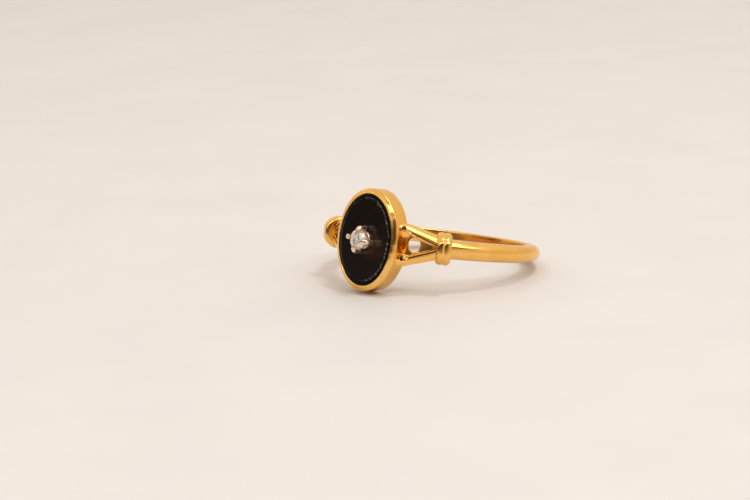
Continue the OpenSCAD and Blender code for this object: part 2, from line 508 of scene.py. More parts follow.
@dataclass(frozen=True)
class YellowGold:
    """Yellow gold of 18 carats, cast, filed, polished and since worn to a soft satin shine.

    To the eye: a warm metal with soft-edged highlights and faint scratches. Its hollows have painted shade:
    the colour goes darker and browner where the surface is closed in.
    """

    name: str = "yellow_gold_worn_polish"
    light: str = "#FDCB75"
    deep: str = "#F0BA60"
    # The colour of the painted shade in hollows.
    hollow_shade: str = "#682D09"
    roughness: tuple[float, float] = (0.15, 0.27)
    patch_mm: float = 1.7
    scratch_mm: float = 0.05
    scratch_strength: float = 0.06
    dent_mm: float = 0.32
    dent_strength: float = 0.16
    relief_mm: float = 0.02
    hollow_shade_mm: float = 0.9
    hollow_shade_range: tuple[float, float] = (0.18, 0.74)

    def material(self) -> bpy.types.Material:
        """Builds the gold.

        Returns:
            The material.
        """
        material, tree, shader, spot = new_material(self.name)
        patches = add_node(tree, "TexNoise", {"Scale": per_mm(self.patch_mm), "Detail": 4.0},
                           {"Vector": spot})
        body = add_node(tree, "ValToRGB", {"stops": ((0.3, self.deep), (0.7, self.light))},
                        {"Fac": patches})
        # Painted shade: the gold goes darker and browner in hollows, by how closed in each spot is.
        shade = add_node(tree, "AmbientOcclusion",
                         {"Distance": self.hollow_shade_mm * MM, "samples": 8, "only_local": True}, out="AO")
        low, high = self.hollow_shade_range
        open_to = add_node(tree, "MapRange", {"From Min": low, "From Max": high}, {"Value": shade})
        colour = add_node(tree, "Mix", {"data_type": "RGBA", 6: tone(self.hollow_shade)},
                          {"Factor": open_to, 7: body}, 2)
        stretched = add_node(tree, "Mapping", {"Rotation": (0.4, 0.2, 0.9), "Scale": (1.0, 0.12, 1.0)},
                             {"Vector": spot})
        scratches = add_node(tree, "TexNoise",
                             {"Scale": per_mm(self.scratch_mm), "Detail": 3.0, "Roughness": 0.7},
                             {"Vector": stretched})
        wear = add_node(tree, "MapRange", {"To Min": self.roughness[0], "To Max": self.roughness[1]},
                        {"Value": patches})
        dents = add_node(tree, "TexNoise", {"Scale": per_mm(self.dent_mm), "Detail": 2.0}, {"Vector": spot})
        relief = {"Distance": self.relief_mm * MM}
        handled = add_node(tree, "Bump", relief | {"Strength": self.dent_strength}, {"Height": dents})
        scored = add_node(tree, "Bump", relief | {"Strength": self.scratch_strength},
                          {"Height": scratches, "Normal": handled})
        set_node(shader, {"Metallic": 1.0}, {"Base Color": colour, "Roughness": wear, "Normal": scored})
        return material


@dataclass(frozen=True)
class WhiteGold:
    """White gold, drawn to wire and burnished over the stone.

    To the eye: a bright, slightly warm white metal with small soft highlights.
    """

    name: str = "white_gold_burnished"
    light: str = "#FFE9D2"
    deep: str = "#F6D6B6"
    roughness: tuple[float, float] = (0.22, 0.36)
    patch_mm: float = 0.32
    relief_mm: float = 0.06
    relief_strength: float = 0.6

    def material(self) -> bpy.types.Material:
        """Builds the white gold.

        Returns:
            The material.
        """
        material, tree, shader, spot = new_material(self.name)
        patches = add_node(tree, "TexNoise", {"Scale": per_mm(self.patch_mm), "Detail": 3.0},
                           {"Vector": spot})
        body = add_node(tree, "ValToRGB", {"stops": ((0.35, self.deep), (0.65, self.light))},
                        {"Fac": patches})
        wear = add_node(tree, "MapRange", {"To Min": self.roughness[0], "To Max": self.roughness[1]},
                        {"Value": patches})
        relief = add_node(tree, "Bump", {"Strength": self.relief_strength, "Distance": self.relief_mm * MM},
                          {"Height": patches})
        set_node(shader, {"Metallic": 1.0}, {"Base Color": body, "Roughness": wear, "Normal": relief})
        return material


@dataclass(frozen=True)
class BlackOnyx:
    """Black onyx, a dyed chalcedony, sawn flat, polished on a lap and bevelled on a coarser one.

    To the eye: near black and glossy, with a painted brown glow beside the setting, a matt bevel and a broken
    line of pale chips along the table's edge. Its patterns read the head's own millimetres.
    """

    mapping: dict[str, tuple[float, float, float]]
    name: str = "black_onyx_lapped"
    body: str = "#130F0E"
    # The colour of a painted glow beside the setting.
    painted_glow: str = "#40250E"
    bevel: str = "#0B0908"
    chip: str = "#6F6962"
    ior: float = 1.54
    half_w: float = 2.975
    half_l: float = 4.175
    bevel_from: float = 0.875
    polish: tuple[float, float] = (0.16, 0.26)
    ground_rough: float = 0.4
    gloss: tuple[float, float] = (0.5, 0.06)
    painted_glow_shift: tuple[float, float, float] = (-1.2, 0.6, 0)
    painted_glow_reach: tuple[float, float] = (1.8, 0.3)
    clouds_per_mm: float = 0.6
    wander_per_mm: float = 3.0
    wander: float = 0.12
    line_at: float = 0.068
    line_w: tuple[float, float] = (0.021, 0.006)
    flakes_per_mm: float = 3.6
    chip_mm: float = 0.03

    def edge_of(self, tree: Tree, spot: Socket) -> Socket:
        """How near the stone's edge a spot is, from 0 in its middle to 1 at its outline.

        Args:
            tree: The material's tree.
            spot: Coordinates in the head's own millimetres.

        Returns:
            The measure's socket.
        """
        shares = add_node(tree, "Mapping", {"Scale": (1 / self.half_w, 1 / self.half_l, 0)}, {"Vector": spot})
        return add_node(tree, "VectorMath", {"operation": "LENGTH"}, {0: shares}, "Value")

    def chips(self, tree: Tree, spot: Socket, edge: Socket) -> Socket:
        """Where the table's edge is chipped: a thin broken line of flakes, most of them on the right.

        Args:
            tree: The material's tree.
            spot: Coordinates in the head's own millimetres.
            edge: How near the stone's edge a spot is.

        Returns:
            The mask's socket.
        """
        noise = add_node(tree, "TexNoise", {"Scale": self.wander_per_mm, "Detail": 4.0}, {"Vector": spot})
        wavy = add_node(tree, "Math", {"operation": "MULTIPLY_ADD", 1: self.wander}, {0: noise, 2: edge})
        off = add_node(tree, "Math", {"operation": "SUBTRACT", 1: self.bevel_from + self.line_at}, {0: wavy})
        aside = add_node(tree, "Math", {"operation": "ABSOLUTE"}, {0: off})
        line = add_node(tree, "MapRange", {"From Min": self.line_w[0], "From Max": self.line_w[1]},
                        {"Value": aside})
        flakes = add_node(tree, "TexNoise", {"Scale": self.flakes_per_mm, "Detail": 3.0, "Roughness": 0.7},
                          {"Vector": spot})
        across = add_node(tree, "SeparateXYZ", links={"Vector": spot}, out="X")
        limit = add_node(tree, "MapRange", {"From Min": -0.6, "From Max": 1.4, "To Min": 0.6, "To Max": 0.48},
                         {"Value": across})
        over = add_node(tree, "Math", {"operation": "SUBTRACT"}, {0: flakes, 1: limit})
        sparse = add_node(tree, "MapRange", {"From Min": 0.0, "From Max": 0.04}, {"Value": over})
        return add_node(tree, "Math", {"operation": "MULTIPLY"}, {0: line, 1: sparse})

    def material(self) -> bpy.types.Material:
        """Builds the onyx.

        Returns:
            The material.
        """
        material, tree, shader, lying = new_material(self.name)
        spot = add_node(tree, "Mapping", dict(self.mapping), {"Vector": lying})
        # Painted glow: a faint brown halo beside the setting, broken up by clouds.
        flat = add_node(tree, "Mapping", {"Scale": (1, 1, 0), "Location": self.painted_glow_shift}, {"Vector": spot})
        far = add_node(tree, "VectorMath", {"operation": "LENGTH"}, {0: flat}, "Value")
        halo = add_node(tree, "MapRange", {"interpolation_type": "SMOOTHSTEP", "From Min": self.painted_glow_reach[0],
                                           "From Max": self.painted_glow_reach[1]}, {"Value": far})
        clouds = add_node(tree, "TexNoise", {"Scale": self.clouds_per_mm, "Detail": 5.0}, {"Vector": spot})
        depth = add_node(tree, "Math", {"operation": "MULTIPLY"}, {0: halo, 1: clouds})
        body = add_node(tree, "Mix", {"data_type": "RGBA", 6: tone(self.body), 7: tone(self.painted_glow)},
                        {"Factor": depth}, 2)
        edge = self.edge_of(tree, spot)
        chips = self.chips(tree, spot, edge)
        ground = add_node(tree, "MapRange", {"From Min": self.bevel_from - 0.005,
                                             "From Max": self.bevel_from + 0.01}, {"Value": edge})
        colour = body
        for code, mask in ((self.bevel, ground), (self.chip, chips)):
            colour = add_node(tree, "Mix", {"data_type": "RGBA", 7: tone(code)},
                              {"Factor": mask, 6: colour}, 2)
        haze = add_node(tree, "MapRange", {"To Min": self.polish[0], "To Max": self.polish[1]},
                        {"Value": clouds})
        matt = add_node(tree, "Math", {"operation": "MAXIMUM"}, {0: chips, 1: ground})
        rough = add_node(tree, "Math", {"operation": "MULTIPLY_ADD", 1: self.ground_rough},
                         {0: matt, 2: haze})
        gloss = add_node(tree, "MapRange", {"To Min": self.gloss[0], "To Max": self.gloss[1]},
                         {"Value": ground})
        relief = add_node(tree, "Bump", {"Strength": 0.5, "Distance": self.chip_mm * MM, "invert": True},
                          {"Height": chips})
        set_node(shader, {"IOR": self.ior}, {"Base Color": colour, "Roughness": rough,
                                             "Specular IOR Level": gloss, "Normal": relief})
        return material


@dataclass(frozen=True)
class CutDiamond:
    """Diamond, cut and polished as a round brilliant.

    To the eye: clear and bright, with sharp facets broken up into painted white and grey facet light. The
    greys stand for the light that the lower facets throw back through the upper ones, which so few bounces
    don't draw.
    """

    name: str = "diamond_brilliant_cut"
    painted_facet_light: tuple[tuple[float, str], ...] = (
        (0.0, "#6E6156"), (0.22, "#C2B1A1"), (0.42, "#FFF6EE"), (0.7, "#FFFFFF"),
    )
    facet_step: float = 0.06
    spark_mm: float = 0.34
    haze_mm: float = 0.3
    haze: float = 0.05
    clear: float = 0.15
    ior: float = 2.417

    def material(self) -> bpy.types.Material:
        """Builds the diamond.

        Returns:
            The material.
        """
        material, tree, shader, spot = new_material(self.name)
        normal = add_node(tree, "TexCoord", out="Normal")
        haze = add_node(tree, "TexNoise", {"Scale": per_mm(self.haze_mm), "Detail": 2.0}, {"Vector": spot})
        film = add_node(tree, "MapRange", {"To Min": 0.0, "To Max": self.haze}, {"Value": haze})
        facet = add_node(tree, "VectorMath", {"operation": "SNAP", 1: (self.facet_step,) * 3}, {0: normal})
        sparks = add_node(tree, "TexVoronoi", {"Scale": per_mm(self.spark_mm)}, {"Vector": spot}, "Position")
        both = add_node(tree, "VectorMath", {"operation": "ADD"}, {0: facet, 1: sparks})
        # Painted facet light: each facet and spark gets a white or grey of its own.
        grey = add_node(tree, "TexWhiteNoise", links={"Vector": both}, out="Value")
        body = add_node(tree, "ValToRGB", {"stops": self.painted_facet_light}, {"Fac": grey})
        set_node(shader, {"IOR": self.ior, "Transmission Weight": self.clear},
                 {"Base Color": body, "Roughness": film})
        return material


@dataclass(frozen=True)
class PaleTable:
    """Matt off-white table top, lightly mottled."""

    name: str = "pale_table_matt"
    light: str = "#DBD9DA"
    deep: str = "#D7D5D7"
    mottle_mm: float = 14.0
    roughness: float = 0.6

    def material(self) -> bpy.types.Material:
        """Builds the table's surface.

        Returns:
            The material.
        """
        material, tree, shader, spot = new_material(self.name)
        mottle = add_node(tree, "TexNoise", {"Scale": per_mm(self.mottle_mm), "Detail": 6.0},
                          {"Vector": spot})
        body = add_node(tree, "ValToRGB", {"stops": ((0.3, self.deep), (0.7, self.light))}, {"Fac": mottle})
        set_node(shader, {"Roughness": self.roughness}, {"Base Color": body})
        return material


# The ring


@dataclass(frozen=True)
class Ring:
    """How the ring lies, and the sizes that its parts share, in millimetres."""

    finger_r: float = 8.25
    tilt: float = 12.371
    lift: float = 2.602
    shift: float = 1.281
    collar_angle: float = 41.0

    def bore(self, piece: Piece) -> None:
        """Bores the finger hole through an upright piece."""
        cut_out(piece, added("finger_bore", bpy.ops.mesh.primitive_cylinder_add, vertices=256,
                             radius=self.finger_r, depth=12))

    def lie_down(self, piece: Piece) -> Piece:
        """Lays an upright piece on its side, in metres, where the solids are.

        Args:
            piece: The upright piece, in millimetres.

        Returns:
            The same piece.
        """
        move = Matrix.Translation((0, self.shift, self.lift))
        place(piece, Matrix.Scale(MM, 4) @ move @ turn(-self.tilt, "X"))
        return piece

    def head_mapping(self) -> dict[str, tuple[float, float, float]]:
        """Settings of a Mapping node from metres on the table to the head's own millimetres.

        Returns:
            The node's settings, after which X is across the head, Y along it and Z outwards.
        """
        angle = math.radians(self.tilt - 90)
        origin = Matrix.Rotation(angle, 3, "X") @ Vector((0, self.shift, self.lift))
        return {"Location": tuple(-origin), "Rotation": (angle, 0, 0), "Scale": (1 / MM, 1 / MM, 1 / MM)}


def dress(piece: Piece, material: bpy.types.Material, node: str) -> None:
    """Gives a finished piece its material and ties it to the frame.

    Args:
        piece: The finished piece.
        material: Its material.
        node: The node that it stands for.
    """
    piece.data.materials.clear()
    piece.data.materials.append(material)
    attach(piece, BODY)
    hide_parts(node)
    LOG.info("%s: %d faces", piece.name, len(piece.data.polygons))


@dataclass
class Shank:
    """Half-round band from collar to collar, thinner and narrower towards its back."""

    ring: Ring
    front_t: float = 1.55
    back_t: float = 1.2
    front_w: float = 1.74
    back_w: float = 1.3
    crown: float = 0.49
    inner_round: float = 0.16
    sections: int = 96

    def share_back(self, angle: float) -> float:
        """How far round to the back an angle from the bezel is, from 0 at a collar to 1."""
        front = math.cos(math.radians(self.ring.collar_angle))
        return (front - math.cos(math.radians(angle))) / (front + 1)

    def shape_section(self, piece: Piece, angle: float) -> None:
        """Scales the section at an angle to its thickness and width.

        Args:
            piece: The band in edit mode.
            angle: Degrees from the bezel.
        """
        bend = math.radians(angle)
        out = Vector((math.sin(bend), -math.cos(bend), 0))
        aside = Vector((out.y, -out.x, 0))
        near = self.ring.finger_r * math.radians(180 / self.sections)
        pick(piece, Part.CORNER, lambda p: abs(p.dot(aside)) < near and p.dot(out) > 0)
        back = self.share_back(angle)
        thick = 1 + (self.back_t / self.front_t - 1) * back
        wide = 1 + (self.back_w / self.front_w - 1) * back
        stretch((thick, thick, wide), out * self.ring.finger_r)

    def build(self) -> Piece:
        """Spins a half-round section round the finger.

        Returns:
            The band, laid down.
        """
        piece = added("shank_band", bpy.ops.mesh.primitive_plane_add, size=1,
                      rotation=(math.radians(90), 0, 0))
        place(piece, Matrix.Identity(4))
        start = self.ring.collar_angle
        with editing(piece):
            pick_all(Part.CORNER)
            stretch((self.front_t, 1, self.front_w))
            middle = self.ring.finger_r + self.front_t / 2
            bpy.ops.transform.translate(value=(middle, 0, 0))
            pick(piece, Part.CORNER, lambda p: p.x > middle)
            bpy.ops.mesh.bevel(offset=self.front_w * self.crown, segments=10, affect="VERTICES")
            pick(piece, Part.CORNER, lambda p: p.x < self.ring.finger_r + HAIR)
            bpy.ops.mesh.bevel(offset=self.inner_round, segments=4, affect="VERTICES")
        place(piece, turn(start - 90, "Z"))
        sweep = 360 - 2 * start
        with editing(piece):
            pick_all(Part.FACE)
            bpy.ops.mesh.spin(steps=self.sections, angle=math.radians(sweep), center=(0, 0, 0),
                              axis=(0, 0, -1))
            for i in range(self.sections + 1):
                self.shape_section(piece, start + sweep * i / self.sections)
            face_outwards()
        smooth(piece, 50)
        return self.ring.lie_down(piece)


@dataclass
class Shoulder:
    """The fork that runs from a collar to the bezel's side.

    The fork is shaped in the frame of its flat face, where reach is the distance from the crotch
    towards the bezel and the arms lie to both sides of the middle line.
    """

    ring: Ring
    angle: float = 36.0
    face: float = 9.75
    root: float = -0.95
    arm_end_x: float = 3.0
    foot_low: tuple[float, float, float] = (2.2, -8.8, 0.64)
    foot_high: tuple[float, float, float] = (3.1, -7.0, 1.4)
    foot_round: float = 0.2
    spread: float = 1.85
    outer_line: tuple[float, float, float] = (1.11, 0.3, 0.0)
    opening: tuple[float, float, float] = (0.15, 0.36, 0.0)
    groove: tuple[float, float, float] = (0.26, 0.4, -0.017)
    groove_w: float = 0.13
    groove_d: float = 0.22
    wire_drop: float = 0.04
    web_under: tuple[float, float] = (0.08, 0.12)
    throat_end: float = -0.3
    throat_drop: float = 0.01
    ramp_l: float = 1.5
    ramp_drop: float = 0.12
    ramp_halves: tuple[float, float, float] = (0.2, 0.32, 0.6)
    land_drop: float = 0.1
    land_under: float = 0.1
    land_flare: tuple[tuple[float, float], ...] = (
        (2.1, 0.4), (2.3, 0.18), (2.5, 0.05), (2.8, 0.0), (3.3, 0.0), (3.9, 0.0),
    )
    upper_neck: float = 0.62
    lower_neck: float = 0.8
    upper_slant: float = 1.1
    lower_slant: float = 0.48
    upper_eye: tuple[float, float] = (2.82, 1.44)
    lower_eye: tuple[float, float] = (2.74, 1.2)
    burr_at: tuple[float, float, float] = (2.54, 1.13, 0.19)
    burr_depth: float = 4.5
    burr_proud: float = 0.02
    pocket_top: float = 9.05
    pierce: tuple[float, float] = (0.48, 0.6)
    pierce_reach: float = 1.76
    pierce_flare: float = 0.06
    eye_r: float = 0.2
    eye_d: float = 0.36
    below: float = 7.0
    overlap: float = 0.06
    fine_step: float = 0.12
    coarse_step: float = 0.2
    voxel: float = 0.036

    def curve(self, terms: tuple[float, float, float], reach: float) -> float:
        """Distance of a curve of the fork from its middle line at a reach."""
        return terms[0] + terms[1] * reach + terms[2] * reach * reach

    def outer(self, reach: float) -> float:
        """Distance of an arm's outer edge from the middle line."""
        return min(self.curve(self.outer_line, reach), self.spread)

    def opening_edge(self, reach: float) -> float:
        """Distance of the opening's edge from the middle line, which narrows to nothing at the collar."""
        return self.curve(self.opening, max(reach, self.throat_end))

    def groove_in(self, reach: float) -> float:
        """Distance of the groove's inner edge from the middle line."""
        return self.curve(self.groove, max(reach, self.throat_end))

    def groove_out(self, reach: float) -> float:
        """Distance of the groove's outer edge from the middle line."""
        return self.groove_in(reach) + self.groove_w

    def run(self, name: str, reaches: Sequence[float], inner: Callable[[float], float],
            outer: Callable[[float], float], top: float, *work: TopEdge | float) -> Piece:
        """Sweeps a level piece of the fork between two edges.

        Args:
            name: The piece's name.
            reaches: How far its sections are from the crotch.
            inner: Distance of its inner edge from the middle line, at a reach.
            outer: Distance of its outer edge from the middle line, at a reach.
            top: Its height over the finger's middle.
            work: How its top is worked, as swept takes it.

        Returns:
            The piece, in the ring's frame.
        """
        stations = [Station(reach, inner(reach), outer(reach), top) for reach in reaches]
        return self.set_in(swept(name, stations, self.below, *work))

    def arm(self, name: str, neck: float, slant: float) -> Piece:
        """One arm, in the ring's frame.

        The bar has a crest near its inner edge and a slope to its outer one. The thin wire runs along the
        opening, with the groove between them, and the web is the groove's floor. The land beside the
        bezel joins the wire to the bar round the eye, and the foot goes under the bezel's back edge.

        Args:
            name: The arm's name.
            neck: Distance of the land's inner edge from the middle line, beside the bezel.
            slant: How steeply the bar's slope falls; 1 is 45 degrees.

        Returns:
            The arm, on the upper side.
        """
        flare = dict(self.land_flare)
        return joined(name, [
            self.run("bar", [self.root + self.fine_step * i for i in range(41)], self.groove_out,
                     self.outer, self.face, TopEdge(0.05), TopEdge(0.88, 0.38), 6, slant),
            self.run("wire", [self.fine_step * i for i in range(-4, 21)], self.opening_edge,
                     self.groove_in, self.face - self.wire_drop, TopEdge(0.42), TopEdge(0.42), 4),
            self.run("web", [self.root + self.coarse_step * i for i in range(20)],
                     lambda reach: self.groove_in(reach) - self.web_under[0],
                     lambda reach: self.groove_out(reach) + self.web_under[1], self.face - self.groove_d),
            self.run("land", list(flare), lambda reach: neck + flare[reach],
                     lambda reach: self.groove_out(reach) + self.land_under, self.face - self.land_drop,
                     TopEdge(0.62, 0.27), TopEdge(0.1), 6, 0.85),
            self.foot(),
        ])

    def middle(self) -> list[Piece]:
        """What lies between the arms, in the ring's frame.

        Returns:
            The solid throat, the ramp from the crotch down to the finger hole, and the fork's floor.
        """
        top, end = self.face - self.ramp_drop, self.ring.finger_r - self.ramp_drop
        narrow, half_way, wide = self.ramp_halves
        ramp = [
            Station(self.throat_end + along, -half, half, height)
            for along, half, height in ((-0.2, narrow, top), (0.1, narrow, top - 0.1),
                                        (self.ramp_l / 2, half_way, (top + end) / 2),
                                        (self.ramp_l, wide, end))
        ]
        return [
            self.run("throat", (self.root, -0.7, -0.5, self.throat_end), lambda reach: -self.outer(reach),
                     self.outer, self.face - self.throat_drop, TopEdge(0.3), TopEdge(0.3), 8),
            self.set_in(swept("ramp", ramp, self.below)),
            self.run("pocket", [self.coarse_step * i for i in range(1, 17)],
                     lambda reach: -self.opening_edge(reach) - self.overlap,
                     lambda reach: self.opening_edge(reach) + self.overlap, self.pocket_top),
        ]

    def set_at(self, piece: Piece, reach: float, aside: float, height: float) -> Piece:
        """Moves a small piece to a spot of the fork, in the ring's frame.

        Args:
            piece: The piece, about its own middle.
            reach: The spot's distance from the crotch.
            aside: Its distance from the middle line, below 0 on the lower arm.
            height: Its height over the finger's middle.

        Returns:
            The same piece.
        """
        place(piece, seat_at(self.angle) @ Matrix.Translation((-reach, aside, height)))
        return piece

    def piercer(self) -> Piece:
        """The oval bit, wider at its top, that pierces the fork's floor, in the ring's frame.

        Returns:
            The bit.
        """
        profile = [
            Corner(0, self.below - 0.5),
            Corner(0, self.pocket_top - 0.5),
            Corner(-self.pierce_flare, self.pocket_top + 0.03),
        ]
        return self.set_at(Oval(*self.pierce, 48).turned("piercer", profile), self.pierce_reach, 0, 0)

    def drill(self, reach: float, aside: float) -> Piece:
        """The drill that sinks an eye, in the ring's frame.

        Args:
            reach: The eye's distance from the crotch.
            aside: Its distance from the middle line, below 0 on the lower arm.

        Returns:
            The drill's body.
        """
        length = 2
        piece = added("drill", bpy.ops.mesh.primitive_cylinder_add, vertices=32, radius=self.eye_r,
                      depth=length)
        return self.set_at(piece, reach, aside, self.face - self.eye_d + length / 2)

    def burr(self) -> Piece:
        """The small bright burr that stands proud of the lower eye, in the ring's frame.

        Returns:
            The burr.
        """
        reach, aside, radius = self.burr_at
        piece = added("burr", bpy.ops.mesh.primitive_uv_sphere_add, segments=20, ring_count=12,
                      radius=radius)
        with editing(piece):
            pick(piece, Part.CORNER, lambda p: p.z < 0)
            stretch((1, 1, self.burr_depth))
        return self.set_at(piece, reach, -aside, self.face - radius + self.burr_proud)

    def foot(self) -> Piece:
        """The foot of an arm under the bezel's back edge, in the ring's frame.

        Returns:
            The foot.
        """
        piece = added("foot", bpy.ops.mesh.primitive_cube_add, size=1)
        low, high = Vector(self.foot_low), Vector(self.foot_high)
        with editing(piece):
            pick_all(Part.CORNER)
            stretch(high - low)
            bpy.ops.transform.translate(value=(low + high) / 2)
            pick_all(Part.EDGE)
            bpy.ops.mesh.bevel(offset=self.foot_round, segments=4)
        return piece

    def set_in(self, piece: Piece) -> Piece:
        """Moves a piece of the fork into the ring's frame and ends it inside the bezel's wall.

        Args:
            piece: The piece, in the fork's frame.

        Returns:
            The same piece.
        """
        place(piece, seat_at(self.angle))
        with editing(piece):
            pick_all(Part.CORNER)
            bpy.ops.mesh.bisect(plane_co=(self.arm_end_x, 0, 0), plane_no=(1, 0, 0), use_fill=True,
                                clear_inner=True)
            face_outwards()
        return piece

    def shaped(self) -> Piece:
        """Fuses, bores, pierces and files the shoulder of the right side.

        Returns:
            The shoulder, upright, for both sides to copy.
        """
        upper = self.arm("upper_arm", self.upper_neck, self.upper_slant)
        lower = self.arm("lower_arm", self.lower_neck, self.lower_slant)
        mirror(lower, 1, 1, -1)
        piece = joined("shoulder", [upper, lower, *self.middle()])
        modify(piece, "REMESH", mode="VOXEL", voxel_size=self.voxel)
        self.ring.bore(piece)
        cut_out(piece, self.piercer())
        for reach, aside in (self.upper_eye, (self.lower_eye[0], -self.lower_eye[1])):
            cut_out(piece, self.drill(reach, aside))
        modify(piece, "REMESH", mode="VOXEL", voxel_size=self.voxel, use_smooth_shade=True)
        modify(piece, "SMOOTH", factor=0.5, iterations=7)
        return joined("shoulder", [piece, self.burr()])

    def build(self, model: Piece, side: Side) -> Piece:
        """Copies the shoulder to a side of the ring.

        Args:
            model: The shaped shoulder.
            side: Which side of the ring the copy is for.

        Returns:
            The copy, laid down.
        """
        piece = copied(model, f"shoulder_{side.name.lower()}")
        if side is Side.LEFT:
            mirror(piece, -1, 1, 1)
        hold(piece)
        bpy.ops.object.shade_smooth()
        return self.ring.lie_down(piece)


@dataclass
class Collar:
    """Barrel of two beads with a shallow waist, turned and soldered round the end of the shank.

    Its front is worn nearly flat.
    """

    ring: Ring
    radius: float = 1.46
    rise: float = 0.8
    worn: float = 0.11
    left_over: float = 0.25
    line: tuple[tuple[float, float], ...] = (
        (0.0, 0.09), (0.035, 0.08), (0.08, 0.034), (0.125, 0.006), (0.18, 0.0), (0.28, 0.008),
        (0.38, 0.026), (0.47, 0.055), (0.55, 0.1), (0.61, 0.17), (0.65, 0.27), (0.67, 0.4), (0.67, 1.0),
    )

    def shaped(self) -> Piece:
        """Turns a collar and wears its front.

        Returns:
            The collar about its own middle, for both sides to copy.
        """
        half = [Corner(inset, along) for along, inset in self.line]
        other = [Corner(corner.inset, -corner.height) for corner in reversed(half[1:])]
        piece = Oval(self.radius, self.radius, 128).turned("collar", other + half)
        with editing(piece):
            front = self.worn - self.radius
            pick(piece, Part.CORNER, lambda p: p.x < front)
            stretch((self.left_over, 1, 1), (front, 0, 0))
        modify(piece, "SMOOTH", factor=0.5, iterations=2)
        smooth(piece, 60)
        place(piece, turn(90, "Y"))
        return piece

    def build(self, model: Piece, side: Side) -> Piece:
        """Copies the collar to a side of the ring and bores it.

        Args:
            model: The shaped collar.
            side: Which side of the ring the copy is for.

        Returns:
            The copy, laid down.
        """
        piece = copied(model, f"collar_{side.name.lower()}")
        out = Matrix.Translation((0, 0, self.ring.finger_r + self.rise))
        place(piece, seat_at(side.value * self.ring.collar_angle) @ out)
        self.ring.bore(piece)
        return self.ring.lie_down(piece)


@dataclass
class Bezel:
    """Oval cup with an upright wall, whose edge is rubbed over the onyx, on an open-backed ledge."""

    ring: Ring
    outline: Oval = field(default_factory=lambda: Oval(3.34, 4.54))
    back: float = 8.6
    rim_foot: float = 10.2
    rim_top: float = 10.51
    rim_w: float = 0.465
    belly: tuple[float, float] = (0.43, 0.61)
    wall_t: float = 0.355
    seat: float = 9.0
    ledge_w: float = 1.0
    lip: float = 0.04
    uneven: float = 0.045
    uneven_mm: float = 0.8

    def profile(self) -> list[Corner]:
        """Corners of the cup's section.

        Returns:
            The corners, from the back's outer edge round to its inner one.
        """
        rise = self.rim_top - self.rim_foot
        slope = rise / self.rim_w
        return [
            Corner(0, self.back, 0.07),
            Corner(0, self.rim_foot, 0.13, 8),
            Corner(self.belly[0] * self.rim_w, self.rim_foot + self.belly[1] * rise, 0.7, 6),
            Corner(self.rim_w, self.rim_top, 0.03, 3),
            Corner(self.rim_w, self.rim_top - self.lip),
            Corner(self.wall_t, self.rim_top - self.lip - slope * (self.rim_w - self.wall_t)),
            Corner(self.wall_t, self.seat),
            Corner(self.ledge_w, self.seat, 0.05, 3),
            Corner(self.ledge_w, self.back, 0.05, 3),
        ]

    def build(self) -> Piece:
        """Turns the cup, works its surface unevenly by hand and lays it down.

        Returns:
            The bezel.
        """
        piece = self.outline.turned("bezel_cup", self.profile(), closed=True)
        rubbed = bpy.data.textures.new("hand_rubbed", "CLOUDS")
        rubbed.noise_scale = self.uneven_mm
        modify(piece, "DISPLACE", texture=rubbed, texture_coords="LOCAL", strength=self.uneven, mid_level=0.5)
        smooth(piece, 35)
        place(piece, seat_at(0))
        return self.ring.lie_down(piece)


@dataclass
class Onyx:
    """Flat oval stone with a bevelled edge, drilled through its middle."""

    ring: Ring
    outline: Oval = field(default_factory=lambda: Oval(3.35, 4.55))
    inset: float = 0.375
    under: float = 9.02
    table: float = 10.63
    bevel_w: float = 0.43
    bevel_h: float = 0.2
    hole_r: float = 0.37

    def build(self) -> Piece:
        """Turns the tablet, drills it and lays it down.

        Returns:
            The onyx.
        """
        table_inset = self.inset + self.bevel_w
        profile = [
            Corner(self.inset, self.under),
            Corner(self.inset, self.table - self.bevel_h, 0.03, 2),
            Corner(table_inset, self.table, 0.12, 4),
            Corner(table_inset + 0.3, self.table),
        ]
        piece = self.outline.turned("onyx_stone", profile)
        cut_out(piece, added("drill", bpy.ops.mesh.primitive_cylinder_add, vertices=48, radius=self.hole_r,
                             depth=3, location=(0, 0, (self.under + self.table) / 2)))
        smooth(piece, 20)
        place(piece, seat_at(0))
        return self.ring.lie_down(piece)


